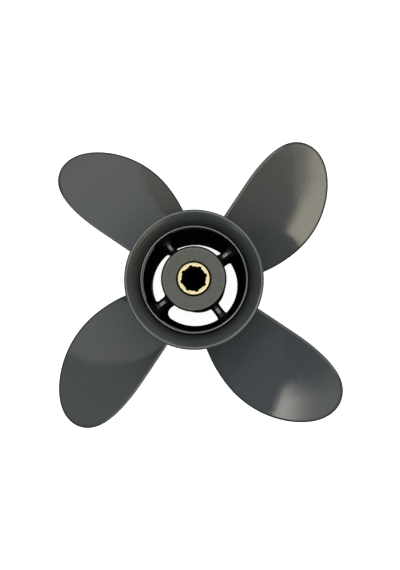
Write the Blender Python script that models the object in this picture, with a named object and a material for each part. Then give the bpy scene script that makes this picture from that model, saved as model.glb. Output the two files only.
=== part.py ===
"""Four-blade aluminium propeller of a small outboard motor, with its exhaust through the hub.

The real one has three pieces. One casting holds the hub barrel with its flared aft ring, the inner
hub, four webs between them and four blades. A brass sleeve with eight splines takes the shaft, and a
rubber bushing sits between the sleeve and the inner hub.

Metres, +Z up. The shaft axis is Z, and +Z points aft, because the propeller stands on the front end
of its hub, as on a bench. The origin is on the axis, at the level of that front end. Angles count
anticlockwise as seen from aft.
"""
import math

import bmesh
import bpy
import numpy as np

MM = 0.001

# Blades: a pitch surface that grows with the radius, cut to the outline below
BLADES = 4
TIP_RADIUS = 127.0 * MM
PITCH = 216.0 * MM
PITCH_RADIUS = 0.65 * TIP_RADIUS
PITCH_GROWTH = 0.6
RAKE = 0.08
BLADE_MIDDLE_ANGLE = 42.0
BLADE_MIDDLE_TO_RIM = 42.0 * MM
# Control points of the outline, as radius in mm and angle in degrees: up the leading edge, then round
# the tip and down the trailing edge
LEADING_EDGE = [(35.5, 4.8), (53.5, 9.6), (71.0, 14.8), (88.0, 20.4), (107.0, 28.8), (125.0, 40.0)]
TRAILING_EDGE = [(129.0, 49.0), (117.5, 57.4), (85.0, 61.8), (68.0, 62.8), (51.5, 65.0), (35.5, 68.0)]
ROOT_THICKNESS = 8.0 * MM
TIP_THICKNESS = 2.6 * MM
EDGE_THICKNESS = 1.4 * MM
ROOT_FILLET = 7.0 * MM
FILLET_SPREAD = 2.6 * MM
CHORD_POINTS = 7
TIP_SECTIONS = 9

# Hub barrel and its flared ring
HUB_LENGTH = 91.5 * MM
BARREL_RADIUS = 36.5 * MM
BORE_RADIUS_FRONT = 32.6 * MM
BORE_RADIUS_AFT = 33.6 * MM
BARREL_EDGE = 0.6 * MM
RIM_RADIUS = 44.5 * MM
RIM_WALL = 2.6 * MM
FLARE_LENGTH = 23.0 * MM
FUNNEL_SAG = 0.9 * MM
BEAD_RADIUS = 34.2 * MM
BEAD_WIDTH = 1.2 * MM
BEAD_DEPTH = 5.0 * MM
GROOVE_DEPTH = 6.6 * MM
GROOVE_RADIUS = 35.6 * MM

# Inner hub, closed at its aft end but for the hole that the sleeve comes through
INNER_HUB_RADIUS = 21.0 * MM
INNER_HUB_BORE = 17.2 * MM
INNER_HUB_FRONT = 4.0 * MM
HUB_FACE_DEPTH = 2.0 * MM
HUB_FACE_EDGE = 0.8 * MM
HUB_FACE_WALL = 5.0 * MM
SLEEVE_HOLE_RADIUS = 11.2 * MM

# Webs between the inner hub and the barrel
WEB_ANGLE = 37.4
WEB_THICKNESS = 6.0 * MM
HUB_FILLET = 2.6 * MM
WALL_FILLET = 6.0 * MM
WEB_FRONT = 6.0 * MM
WEB_NOSE_DEPTH = 9.0 * MM

# Splined sleeve and rubber bushing
SEAT_GAP = 0.3 * MM
SLEEVE_RADIUS = 10.2 * MM
SLEEVE_FRONT = 2.0 * MM
SLEEVE_PROUD = 1.0 * MM
SLEEVE_CHAMFER = 0.5 * MM
SPLINES = 8
SPLINE_ANGLE = 15.0
SPLINE_MAJOR_RADIUS = 8.5 * MM
SPLINE_MINOR_RADIUS = 7.7 * MM
BUSHING_FRONT = 8.0 * MM
BUSHING_CHAMFER = 1.2 * MM

# How far a piece reaches into the wall that it is cast to, and how many flats a round piece has
ROOTED = 1.5 * MM
ROUND_SEGMENTS = 60

PAINT = ("dark_grey_paint", (0.075, 0.082, 0.083), 0.35, 0.3)
BRASS = ("bare_brass", (0.80, 0.66, 0.36), 0.3, 1.0)
RUBBER = ("black_rubber", (0.02, 0.02, 0.02), 0.8, 0.0)


def clear_scene():
    """Removes every object of the startup scene."""
    for found in list(bpy.data.objects):
        bpy.data.objects.remove(found, do_unlink=True)


def material(name, colour, roughness, metallic):
    """A Principled material of one plain colour."""
    made = bpy.data.materials.new(name)
    made.use_nodes = True
    shader = made.node_tree.nodes["Principled BSDF"]
    shader.inputs["Base Color"].default_value = (*colour, 1.0)
    shader.inputs["Roughness"].default_value = roughness
    shader.inputs["Metallic"].default_value = metallic
    return made


def add_object(name, points, faces, finish):
    """Makes a closed mesh object of triangles, with its faces pointing out and round parts smooth."""
    mesh = bpy.data.meshes.new(name)
    mesh.from_pydata([tuple(p) for p in points], [], faces)
    work = bmesh.new()
    work.from_mesh(mesh)
    bmesh.ops.recalc_face_normals(work, faces=work.faces)
    bmesh.ops.triangulate(work, faces=work.faces)
    work.to_mesh(mesh)
    work.free()
    mesh.shade_smooth()
    mesh.set_sharp_from_angle(angle=math.radians(35))
    mesh.materials.append(finish)
    made = bpy.data.objects.new(name, mesh)
    bpy.context.scene.collection.objects.link(made)
    return made


def arc(centre, radius, start, end, steps):
    """Points of a circle's arc in the (radius, height) plane, from one angle in degrees to another."""
    angles = np.radians(np.linspace(start, end, steps + 1))
    return [(centre[0] + radius * math.cos(a), centre[1] + radius * math.sin(a)) for a in angles]


def ring_faces(rings, count, closed):
    """Quads between neighbouring rings of points; closed joins the last ring to the first."""
    faces = []
    for row in range(rings if closed else rings - 1):
        below, above = row * count, (row + 1) % rings * count
        for k in range(count):
            after = (k + 1) % count
            faces.append((below + k, below + after, above + after, above + k))
    return faces


def turned(name, profile, finish, segments=ROUND_SEGMENTS):
    """Turns a closed (radius, height) profile about Z."""
    angles = np.arange(segments) * 2 * math.pi / segments
    points = [(r * math.cos(a), r * math.sin(a), z) for r, z in profile for a in angles]
    return add_object(name, points, ring_faces(len(profile), segments, closed=True), finish)


def barrel_profile():
    """Section of the hub barrel: up the outside, over the flared rim, down the funnel and the bore."""
    lip_height = HUB_LENGTH - RIM_WALL / 2
    flare_out = RIM_RADIUS - BARREL_RADIUS
    flare_radius = (FLARE_LENGTH ** 2 + flare_out ** 2) / (2 * flare_out)
    flare_centre = (BARREL_RADIUS + flare_radius, lip_height - FLARE_LENGTH)
    flare_turn = math.degrees(math.asin(FLARE_LENGTH / flare_radius))
    flare = arc(flare_centre, flare_radius, 180, 180 - flare_turn, 6)
    lip = arc((RIM_RADIUS - RIM_WALL / 2, lip_height), RIM_WALL / 2, 30, 150, 4)
    groove = (GROOVE_RADIUS, HUB_LENGTH - GROOVE_DEPTH)
    funnel = ((lip[-1][0] + groove[0]) / 2 - FUNNEL_SAG, (lip[-1][1] + groove[1]) / 2 + FUNNEL_SAG / 2)
    bead_height = HUB_LENGTH - BEAD_DEPTH - BEAD_WIDTH / 2
    bead = arc((BEAD_RADIUS, bead_height), BEAD_WIDTH / 2, 0, 180, 3)
    bore = [(BORE_RADIUS_AFT, bead_height - BEAD_WIDTH), (BORE_RADIUS_FRONT, BARREL_EDGE)]
    front = [
        (BORE_RADIUS_FRONT + BARREL_EDGE, 0.0),
        (BARREL_RADIUS - BARREL_EDGE, 0.0),
        (BARREL_RADIUS, BARREL_EDGE),
    ]
    return flare + lip + [funnel, groove] + bead + bore + front


def inner_hub_profile():
    """Section of the inner hub: a thick tube with a wall across its aft end, pierced for the sleeve."""
    face = HUB_LENGTH - HUB_FACE_DEPTH
    rounded = (INNER_HUB_RADIUS - HUB_FACE_EDGE, face - HUB_FACE_EDGE)
    return [(INNER_HUB_RADIUS, INNER_HUB_FRONT)] + arc(rounded, HUB_FACE_EDGE, 0, 90, 2) + [
        (SLEEVE_HOLE_RADIUS, face),
        (SLEEVE_HOLE_RADIUS, face - HUB_FACE_WALL),
        (INNER_HUB_BORE, face - HUB_FACE_WALL),
        (INNER_HUB_BORE, INNER_HUB_FRONT),
    ]


def web_outline():
    """Plan of a web along +X: a plate with round fillets where it meets the inner hub and the barrel."""
    inner, outer = INNER_HUB_RADIUS, (BORE_RADIUS_FRONT + BORE_RADIUS_AFT) / 2
    turns = np.radians([90.0, 60.0, 30.0, 0.0])
    away, wider = 1 - np.sin(turns), 1 - np.cos(turns)
    at_hub, at_wall = inner + HUB_FILLET * away, outer - WALL_FILLET * away[::-1]
    radii = np.concatenate([[inner - ROOTED], at_hub, at_wall, [outer + ROOTED]])
    half = WEB_THICKNESS / 2 + np.concatenate([HUB_FILLET * wider, WALL_FILLET * wider[::-1]])
    widths = np.concatenate([half[:1], half, half[-1:]])
    return np.concatenate([np.stack([radii, widths], 1), np.stack([radii, -widths], 1)[::-1]])


def web(number, finish):
    """One web: a radial plate along the shaft, with its aft end rounded to a nose."""
    outline = web_outline()
    count = len(outline)
    nose = WEB_THICKNESS / 2
    shoulder = HUB_LENGTH - WEB_NOSE_DEPTH - nose
    levels = [(WEB_FRONT, 1.0)]
    levels += [(shoulder + nose * math.sin(a), math.cos(a)) for a in np.radians([0.0, 35.0, 65.0])]
    turn = math.radians(WEB_ANGLE + 360 / BLADES * number)
    points = []
    for height, share in levels:
        across = outline[:, 1] * share
        x = outline[:, 0] * math.cos(turn) - across * math.sin(turn)
        y = outline[:, 0] * math.sin(turn) + across * math.cos(turn)
        points.append(np.stack([x, y, np.full(count, height)], axis=1))
    faces = ring_faces(len(levels), count, closed=False)
    for base in (0, (len(levels) - 1) * count):
        faces += [(base + k, base + k + 1, base + count - 2 - k, base + count - 1 - k)
                  for k in range(count // 2 - 1)]
    return add_object(f"web_{number + 1}", np.concatenate(points), faces, finish)


def spline_curve(controls, parameters):
    """A clamped cubic B-spline over control points, by the Cox-de Boor recurrence on whole arrays."""
    controls = np.asarray(controls, float)
    degree, count = 3, len(controls)
    knots = np.concatenate([np.zeros(degree), np.linspace(0, 1, count - degree + 1), np.ones(degree)])
    u = np.clip(parameters, 0, 1 - 1e-9)
    basis = [((low <= u) & (u < high)).astype(float) for low, high in zip(knots[:-1], knots[1:])]
    for raised in range(1, degree + 1):
        for k in range(len(knots) - 1 - raised):
            rise, fall = knots[k + raised] - knots[k], knots[k + raised + 1] - knots[k + 1]
            rising = (u - knots[k]) / rise * basis[k] if rise > 0 else 0
            falling = (knots[k + raised + 1] - u) / fall * basis[k + 1] if fall > 0 else 0
            basis[k] = rising + falling
        basis.pop()
    return np.stack(basis, axis=1) @ controls


def blade_edges():
    """The outline's two edges from the root to the tip, as arrays of (radius in metres, radians)."""
    outline = spline_curve(LEADING_EDGE + TRAILING_EDGE, np.linspace(0, 1, 2001))
    outline = np.stack([outline[:, 0] * MM, np.radians(outline[:, 1])], axis=1)
    tip = outline[:, 0].argmax()
    return outline[: tip + 1], outline[tip:][::-1]


def section_radii(root, tip):
    """Radii of the cylinders that cut the blade: close together in the root fillet and at the tip."""
    fillet = BARREL_RADIUS + ROOT_FILLET * np.array([0.0, 0.25, 0.5, 1.0])
    to_tip = np.append(np.linspace(1, 0, TIP_SECTIONS + 1)[1:-1], 0.04)
    return np.concatenate([[root], fillet, tip - (tip - fillet[-1]) * to_tip ** 2])


def blade_sections(radii, leading, trailing):
    """Closed sections as (around, along the shaft) lengths on unrolled cylinders, one row per radius.

    The face that pushes the water lies straight along the pitch surface
    z = pitch * turns + rake * radius. The face behind it bulges as a parabola between the edges, and
    the section is grown all round by half the edge thickness and the fillet.
    """
    radius = radii[:, None]
    start, end = leading[:, None], trailing[:, None]
    pitch = PITCH + PITCH_GROWTH * (radius - PITCH_RADIUS)
    slope = pitch / (2 * math.pi * radius)
    along = np.stack([np.ones_like(slope), slope]) / np.hypot(1, slope)
    normal = np.stack([-along[1], along[0]])
    chord = (end - start) * radius * np.hypot(1, slope)
    edge = np.minimum(EDGE_THICKNESS / 2, chord * 0.2)
    toward_tip = np.clip((radius - BARREL_RADIUS) / (TIP_RADIUS - BARREL_RADIUS), 0, 1)
    thickest = ROOT_THICKNESS + (TIP_THICKNESS - ROOT_THICKNESS) * toward_tip
    near_root = np.clip(1 - (radius - BARREL_RADIUS) / ROOT_FILLET, 0, 1)
    grown = edge + FILLET_SPREAD * near_root ** 2
    across = (1 - np.cos(np.linspace(0, math.pi, CHORD_POINTS))) / 2
    distance = edge + (chord - 2 * edge) * across
    lens = np.minimum(thickest - 2 * edge, chord / 4) * 4 * across * (1 - across)
    upper = along * distance + normal * grown
    lower = along * distance - normal * (lens + grown)
    nose, tail = along * (edge - grown), along * (chord - edge + grown)
    around, height = np.concatenate([nose, upper, tail, lower[:, :, ::-1]], axis=2)
    middle = HUB_LENGTH - BLADE_MIDDLE_TO_RIM + RAKE * (radius - PITCH_RADIUS)
    turns = (start - math.radians(BLADE_MIDDLE_ANGLE)) / (2 * math.pi)
    return around + radius * start, height + middle + pitch * turns


def blade(number, finish):
    """One blade: its sections wrapped on their cylinders, from inside the barrel's wall to the tip."""
    leading, trailing = blade_edges()
    tip = leading[-1, 0]
    radii = section_radii(leading[0, 0], tip)
    angles = [np.interp(radii, edge[:, 0], edge[:, 1]) for edge in (leading, trailing)]
    around, height = blade_sections(radii, *angles)
    turn = around / radii[:, None] + math.radians(360 / BLADES * number)
    points = np.stack([radii[:, None] * np.cos(turn), radii[:, None] * np.sin(turn), height], axis=-1)
    end = points[-1].mean(axis=0)
    end[:2] *= tip / np.hypot(end[0], end[1])
    sections, count = height.shape
    half, last = count // 2, (sections - 1) * count
    faces = ring_faces(sections, count, closed=False)
    faces += [(0, 1, count - 1), (half - 1, half, half + 1)]
    faces += [(k, k + 1, count - k - 1, count - k) for k in range(1, half - 1)]
    faces += [(last + k, last + (k + 1) % count, sections * count) for k in range(count)]
    return add_object(f"blade_{number + 1}", np.vstack([points.reshape(-1, 3), end]), faces, finish)


def casting(finish):
    """The whole casting as one solid: the barrel united with its blades, webs and inner hub."""
    barrel = turned("propeller_casting", barrel_profile(), finish)
    blades = [blade(number, finish) for number in range(BLADES)]
    webs = [web(number, finish) for number in range(BLADES)]
    for cast_on in blades + webs + [turned("inner_hub", inner_hub_profile(), finish)]:
        unite = barrel.modifiers.new(cast_on.name, "BOOLEAN")
        unite.operation = "UNION"
        unite.solver = "EXACT"
        unite.object = cast_on
        cast_on.hide_render = True
        cast_on.display_type = "WIRE"


def splined_sleeve(finish):
    """Brass sleeve: round outside, with eight straight grooves in its bore."""
    steps = [(-22.5, 0), (-15.0, 0), (-8.5, 0), (-6.5, 1), (0.0, 1), (6.5, 1), (8.5, 0), (15.0, 0)]
    radii = (SPLINE_MINOR_RADIUS, SPLINE_MAJOR_RADIUS)
    around = [
        (math.radians(SPLINE_ANGLE + 360 / SPLINES * k + step), radii[groove])
        for k in range(SPLINES)
        for step, groove in steps
    ]
    front, aft = SLEEVE_FRONT, HUB_LENGTH - HUB_FACE_DEPTH + SLEEVE_PROUD
    outside = [
        (SLEEVE_RADIUS - SLEEVE_CHAMFER, front),
        (SLEEVE_RADIUS, front + SLEEVE_CHAMFER),
        (SLEEVE_RADIUS, aft - SLEEVE_CHAMFER),
        (SLEEVE_RADIUS - SLEEVE_CHAMFER, aft),
    ]
    points = [(r * math.cos(a), r * math.sin(a), z) for r, z in outside for a, _ in around]
    points += [(bore * math.cos(a), bore * math.sin(a), z) for z in (aft, front) for a, bore in around]
    add_object("splined_sleeve", points, ring_faces(len(outside) + 2, len(around), closed=True), finish)


def rubber_bushing(finish):
    """Rubber bushing between the sleeve and the inner hub, up to the hub's aft wall."""
    inner, outer = SLEEVE_RADIUS + SEAT_GAP, INNER_HUB_BORE - SEAT_GAP
    aft = HUB_LENGTH - HUB_FACE_DEPTH - HUB_FACE_WALL - SEAT_GAP
    chamfer = [(outer - BUSHING_CHAMFER, BUSHING_FRONT), (outer, BUSHING_FRONT + BUSHING_CHAMFER)]
    profile = chamfer + [(outer, aft), (inner, aft), (inner, BUSHING_FRONT)]
    turned("rubber_bushing", profile, finish, segments=48)


def build():
    """Makes the propeller in an emptied scene."""
    clear_scene()
    casting(material(*PAINT))
    rubber_bushing(material(*RUBBER))
    splined_sleeve(material(*BRASS))


build()
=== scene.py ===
# %% [markdown]
# # Dressing a four-blade propeller
# The packed part has flats and plain colours. These cells build the same propeller again as smooth,
# closed skins with numpy, paint it in procedural materials, and set it on a pale floor under soft light.
# The shaft axis is Z, +Z points aft, and the hub stands on its front end. All lengths are metres, and
# MM makes them from millimetres.

import math

import bpy
import numpy as np
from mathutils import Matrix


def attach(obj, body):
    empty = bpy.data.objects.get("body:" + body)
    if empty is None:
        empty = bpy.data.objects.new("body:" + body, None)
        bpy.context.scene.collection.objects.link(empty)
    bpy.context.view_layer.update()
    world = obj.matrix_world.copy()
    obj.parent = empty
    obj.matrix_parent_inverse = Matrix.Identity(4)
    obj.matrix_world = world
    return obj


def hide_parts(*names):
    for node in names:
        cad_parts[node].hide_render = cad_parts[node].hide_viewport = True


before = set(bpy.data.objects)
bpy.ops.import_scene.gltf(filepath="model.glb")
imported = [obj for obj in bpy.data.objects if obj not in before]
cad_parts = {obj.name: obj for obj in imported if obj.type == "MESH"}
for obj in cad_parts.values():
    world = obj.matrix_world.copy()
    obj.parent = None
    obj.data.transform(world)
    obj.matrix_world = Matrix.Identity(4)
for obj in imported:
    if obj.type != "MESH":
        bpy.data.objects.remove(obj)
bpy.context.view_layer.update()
MM = 0.001

# %% [markdown]
# ## Skins from grids
# A casting has hardly a flat on it, so each of its shapes is a grid of points: rings or sections, one row
# each. The Spin tool could turn some of them, but a grid needs only a formula, its quads, and a test that
# its faces look outwards. The signed volume of the skin is that test: it is positive when they do. A round
# piece is a closed profile, drawn with arcs and turned about the shaft.


# %% Grids of points as closed skins
def grid_quads(rows, columns, closed):
    """Quads between neighbouring rows of a grid whose columns wrap round; closed joins the last row."""
    row = np.arange(rows if closed else rows - 1)[:, None]
    column = np.arange(columns)[None, :]
    below, above, after = row * columns, (row + 1) % rows * columns, (column + 1) % columns
    return np.stack([below + column, below + after, above + after, above + column], -1).reshape(-1, 4)


def signed_volume(points, quads):
    """Sum of the tetrahedra between the origin and each face: a . (b x c) / 6 for both halves of a quad."""
    a, b, c, d = (points[quads[:, k]] for k in range(4))
    halves = np.einsum("ij,ij->i", a, np.cross(b, c)) + np.einsum("ij,ij->i", a, np.cross(c, d))
    return halves.sum() / 6


def outward(points, quads):
    """The skin with its quads turned round where its volume came out negative."""
    return points, quads if signed_volume(points, quads) > 0 else quads[:, ::-1]


def ring_grid(profile, segments):
    """A (radius, height) profile turned about Z, one ring per row: x = r cos a, y = r sin a."""
    angle = np.arange(segments) * 2 * math.pi / segments
    radius, height = profile[:, :1], profile[:, 1:]
    return np.stack([radius * np.cos(angle), radius * np.sin(angle), height + 0 * angle], -1)


def turned(profile, segments):
    """The skin of a closed profile turned about Z."""
    points = ring_grid(profile, segments).reshape(-1, 3)
    return outward(points, grid_quads(len(profile), segments, closed=True))


washer = turned(np.array([[1.0, 0.0], [2.0, 0.0], [2.0, 1.0], [1.0, 1.0]]), segments=360)
print("a washer of radii 1 and 2, 1 high:", round(signed_volume(*washer) / math.pi, 3), "pi, exact 3 pi")

# %% [markdown]
# ## Hub barrel
# The barrel is a tube whose aft end flares out to a rim, as the bell of a trumpet does. Inside the rim's
# round lip a funnel runs down to a groove, and a thin machined bead stands between groove and bore. It
# could be a cylinder with many cuts and bevels. All of it is round, though, so one profile turned about
# the shaft makes it at once. The flare is an arc that touches both the barrel and the lip.

# %% Sizes and profile of the barrel
HUB_LENGTH = 91.5 * MM
BARREL_RADIUS, FRONT_EDGE = 36.5 * MM, 0.8 * MM
BORE_FRONT, BORE_AFT, BORE_END = 32.6 * MM, 33.6 * MM, 84.7 * MM
RIM_RADIUS, LIP, LIP_TURN = 44.5 * MM, 1.3 * MM, 140
FLARE_LENGTH = 23.0 * MM
FUNNEL_FOOT, FUNNEL_BULGE = 85.9 * MM, np.array([-0.9, 0.45]) * MM
BEAD_RADIUS, BEAD_HEIGHT, BEAD_WIDTH = 34.05 * MM, 86.1 * MM, 1.1 * MM
GROOVE_OUTSIDE, GROOVE_FLOOR, GROOVE_CORNER = 36.3 * MM, 84.3 * MM, 0.5 * MM


def arc(centre, radius, start, end, steps):
    """Points of a circle's arc in the (radius, height) plane, from one angle in degrees to another."""
    angle = np.radians(np.linspace(start, end, steps + 1))
    return np.stack([centre[0] + radius * np.cos(angle), centre[1] + radius * np.sin(angle)], -1)


def barrel_profile():
    """Closed (radius, height) section: outside, flare, lip, funnel, groove, bead, bore and front end.

    The flare's radius R follows from touching the lip's circle: (R - out)^2 + length^2 = (R + lip)^2.
    The funnel is a straight line plus a parabola 4 t (1 - t) times its bulge.
    """
    lip_centre = np.array([RIM_RADIUS - LIP, HUB_LENGTH - LIP])
    out = lip_centre[0] - BARREL_RADIUS
    flare = (out ** 2 + FLARE_LENGTH ** 2 - LIP ** 2) / (2 * (out + LIP))
    centre = np.array([BARREL_RADIUS + flare, lip_centre[1] - FLARE_LENGTH])
    meet = math.degrees(math.asin(FLARE_LENGTH / (flare + LIP)))
    outside = np.stack([np.full(16, BARREL_RADIUS), np.linspace(1 * MM, centre[1], 16)], -1)
    lip = arc(lip_centre, LIP, -meet, LIP_TURN, 22)
    share = np.linspace(0, 1, 22)[1:, None]
    straight = lip[-1] * (1 - share) + np.array([GROOVE_OUTSIDE, FUNNEL_FOOT]) * share
    groove_centre = GROOVE_OUTSIDE - GROOVE_CORNER, GROOVE_FLOOR + GROOVE_CORNER
    return np.concatenate([
        outside[:-1],
        arc(centre, flare, 180, 180 - meet, 26)[:-1],
        lip,
        straight + FUNNEL_BULGE * 4 * share * (1 - share),
        arc(groove_centre, GROOVE_CORNER, 0, -90, 5),
        arc((BEAD_RADIUS, BEAD_HEIGHT), BEAD_WIDTH / 2, -20, 180, 14),
        np.stack([np.linspace(BORE_AFT, BORE_FRONT, 14), np.linspace(BORE_END, FRONT_EDGE, 14)], -1),
        arc((BORE_FRONT + FRONT_EDGE, FRONT_EDGE), FRONT_EDGE, 190, 270, 5),
        arc((BARREL_RADIUS - FRONT_EDGE, FRONT_EDGE), FRONT_EDGE, 270, 350, 5),
    ])


profile = barrel_profile()
print("barrel profile:", profile.shape, "rim radius", round(profile[:, 0].max() / MM, 2), "mm")

# %% [markdown]
# ## The lean of the cores
# The holes of a casting are the shapes of the mould's cores, and here the core of the bore sat a little
# askew and wasn't quite round. It shows in the white passages, no two of which are alike. An empty with a
# lattice could bend the tube. Sliding and spreading its inner points with their depth does it in one line,
# and leaves the outside and the rim round.

# %% The barrel with its leaning bore
CORE_REACH = BORE_AFT + 1.0 * MM
CORE_LEAN, CORE_OVAL = np.array([-2.0, -0.6, 0.0]) * MM, np.array([0.024, -0.024, 0.0])


def leaned(skin, reach, lean, oval=0.0):
    """Points nearer the axis than reach slide by lean and spread by oval times their place.

    Both grow toward the front end with the depth below the bore's end, as 1 - z / BORE_END.
    """
    points, quads = skin
    share = np.clip(1 - points[:, 2] / BORE_END, 0, 1) * (np.hypot(points[:, 0], points[:, 1]) < reach)
    return points + share[:, None] * (lean + points * oval), quads


barrel = leaned(turned(profile, segments=216), CORE_REACH, CORE_LEAN, CORE_OVAL)
print("barrel:", barrel[0].shape, "volume cm3", round(signed_volume(*barrel) * 1e6, 1))

# %% [markdown]
# ## Inner hub
# Inside the barrel a thick tube holds the rubber bushing. Its aft end is closed by a wall, pierced for the
# brass sleeve. It is a profile turned about the shaft too, with a fillet's arc at each corner, because a
# Bevel modifier would round all corners alike. It gets wider toward the front end, so that it comes out of
# the mould, and its core leans its own way.

# %% The inner hub
INNER_HUB_RADIUS, INNER_HUB_BORE, INNER_HUB_FRONT = 21.0 * MM, 17.2 * MM, 4.0 * MM
INNER_HUB_DRAFT, HUB_FACE = 0.4 * MM, HUB_LENGTH - 2.0 * MM
SLEEVE_HOLE, FACE_WALL = 11.2 * MM, 5.0 * MM
HUB_REACH, HUB_LEAN = INNER_HUB_RADIUS + 2.0 * MM, np.array([0.5, -0.8, 0.0]) * MM


def inner_hub_profile():
    """Closed section of the inner hub, with rounded edges and the wall across its aft end."""
    edge, hole_edge, foot = 0.9 * MM, 0.5 * MM, 0.8 * MM
    face = np.linspace(INNER_HUB_RADIUS - edge, SLEEVE_HOLE + hole_edge, 8)[1:-1]
    under = HUB_FACE - FACE_WALL
    return np.concatenate([
        arc((INNER_HUB_RADIUS + INNER_HUB_DRAFT - foot, INNER_HUB_FRONT + foot), foot, -90, 0, 5),
        arc((INNER_HUB_RADIUS - edge, HUB_FACE - edge), edge, 0, 90, 10),
        np.stack([face, np.full(len(face), HUB_FACE)], -1),
        arc((SLEEVE_HOLE + hole_edge, HUB_FACE - hole_edge), hole_edge, 90, 180, 5),
        [(SLEEVE_HOLE, under), (INNER_HUB_BORE - foot, under)],
        arc((INNER_HUB_BORE - foot, under - foot), foot, 90, 0, 4)[1:],
        arc((INNER_HUB_BORE + foot, INNER_HUB_FRONT + foot), foot, 180, 270, 4),
    ])


inner_hub = leaned(turned(inner_hub_profile(), segments=160), HUB_REACH, HUB_LEAN)
print("inner hub:", inner_hub[0].shape, "volume cm3", round(signed_volume(*inner_hub) * 1e6, 1))

# %% [markdown]
# ## Webs
# Four webs tie the inner hub to the barrel. A web is a plate along the shaft, and its aft end is a rounded
# saddle, because the mould has a fillet against both walls. A bevelled box would have a crease there. So
# the web is a grid of sections, one at each radius, and one fillet formula widens and raises them toward
# the walls. An open grid like this one is closed by a cap at either end.


# %% Fillets and caps
def fillet(depth, radius):
    """How far a fillet's arc stands off a plate at a depth from the wall: r - sqrt(r^2 - (r - depth)^2)."""
    inside = np.clip(depth, 0, radius)
    return radius - np.sqrt(2 * radius * inside - inside ** 2)


def capped(grid):
    """An open grid of ring sections, each closed across its two halves at the first and the last row."""
    rows, columns = grid.shape[:2]
    near, half = np.arange(columns // 2), columns // 2
    first = np.stack([near[:-1], near[1:], columns - 1 - near[1:], columns - 1 - near[:-1]], -1)
    last = first[:, ::-1] + (rows - 1) * columns
    quads = np.concatenate([grid_quads(rows, columns, closed=False), first[: half - 1], last[: half - 1]])
    return outward(grid.reshape(-1, 3), quads)


print("a 6 mm fillet, 0, 3 and 6 mm from the wall:", fillet(np.array([0.0, 3.0, 6.0]), 6.0).round(2), "mm")

# %% The four webs
WEBS, WEB_ANGLE, WEB_HALF = 4, 37.4, 3.0 * MM
HUB_FILLET, WALL_FILLET, WALL_RISE = 2.6 * MM, 6.0 * MM, 1.6 * MM
WEB_FOOT, WEB_CREST, WEB_DRAFT = 1.2 * MM, 5.0 * MM, 0.8 * MM
WEB_FRONT, WEB_NOSE = 6.0 * MM, HUB_LENGTH - 9.0 * MM
WALL_AT_NOSE = BORE_AFT - (BORE_AFT - BORE_FRONT) * 0.1
OVERLAP = 1.5 * MM


def turned_about_z(points, degrees):
    """Points turned about Z by an angle."""
    c, s = math.cos(math.radians(degrees)), math.sin(math.radians(degrees))
    return points @ np.array([[c, s, 0], [-s, c, 0], [0, 0, 1]])


def web():
    """A web along +X, one section per radius: y runs across it and x = sqrt(r^2 - y^2) keeps the radius.

    Half its width grows by the fillet formula toward the two walls, and so does the height of its nose,
    though less at the barrel. Its flanks come closer toward the front end by the mould's draft, which
    grows with the depth as 1 - z / shoulder.
    """
    toward = 1 - np.cos(np.linspace(0.06, math.pi / 2, 12))
    radius = np.concatenate([
        [INNER_HUB_RADIUS - OVERLAP],
        INNER_HUB_RADIUS + HUB_FILLET * toward,
        WALL_AT_NOSE - WALL_FILLET * toward[::-1],
        [WALL_AT_NOSE + OVERLAP],
    ])[:, None]
    at_hub = fillet(radius - INNER_HUB_RADIUS, HUB_FILLET)
    half = WEB_HALF + (at_hub + fillet(WALL_AT_NOSE - radius, WALL_FILLET))
    shoulder = WEB_NOSE + (at_hub + fillet(WALL_AT_NOSE - radius, WALL_RISE)) - WEB_CREST
    over, foot = np.radians(np.linspace(0, 180, 23)), np.radians(np.linspace(0, 90, 5))
    inset, drop = WEB_FOOT * (1 - np.cos(foot)), WEB_FRONT + WEB_FOOT * (1 - np.sin(foot)) + 0 * half
    across = np.concatenate([half - inset[::-1], half * np.cos(over), inset - half], axis=1)
    height = np.concatenate([drop[:, ::-1], shoulder + WEB_CREST * np.sin(over), drop], axis=1)
    across = across - np.sign(across) * WEB_DRAFT * np.clip(1 - height / shoulder, 0, 1)
    return capped(np.stack([np.sqrt(radius ** 2 - across ** 2), across, height], -1))


plate, plate_quads = web()
webs = [(turned_about_z(plate, WEB_ANGLE + 360 / WEBS * k), plate_quads) for k in range(WEBS)]
print("web:", plate.shape, "highest at", round(plate[:, 2].max() / MM, 1), "mm")

# %% [markdown]
# ## Outline of a blade
# A blade is a screw surface: going once round the shaft climbs by the pitch. Pushing a mesh into that
# shape by hand would lose the screw, so it is drawn as its makers draw it, as an outline of radius over
# angle. The outline is one smooth curve, up the leading edge, round the tip and down the trailing edge. A
# B-spline needs only twelve points for it, and has no kink where they meet.

# %% Outline of a blade
BLADES = 4
LEADING_EDGE = [(35.5, 4.8), (53.5, 9.6), (71.0, 14.8), (88.0, 20.4), (107.0, 28.8), (125.0, 40.0)]
TRAILING_EDGE = [(129.0, 49.0), (117.5, 57.4), (85.0, 61.8), (68.0, 62.8), (51.5, 65.0), (35.5, 68.0)]


def spline_curve(controls, parameters):
    """A clamped cubic B-spline over control points.

    The weights start as steps, 1 between two knots. Three times, each new weight is the old one rising
    plus the next one falling, both in proportion to the distance from the knots.
    """
    controls = np.asarray(controls, float)
    degree, count = 3, len(controls)
    knots = np.concatenate([np.zeros(degree), np.linspace(0, 1, count - degree + 1), np.ones(degree)])
    u = np.clip(parameters, 0, 1 - 1e-9)
    basis = [((low <= u) & (u < high)).astype(float) for low, high in zip(knots[:-1], knots[1:])]
    for raised in range(1, degree + 1):
        for k in range(len(knots) - 1 - raised):
            rise, fall = knots[k + raised] - knots[k], knots[k + raised + 1] - knots[k + 1]
            rising = (u - knots[k]) / rise * basis[k] if rise > 0 else 0
            falling = (knots[k + raised + 1] - u) / fall * basis[k + 1] if fall > 0 else 0
            basis[k] = rising + falling
        basis.pop()
    return np.stack(basis, axis=1) @ controls


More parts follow.
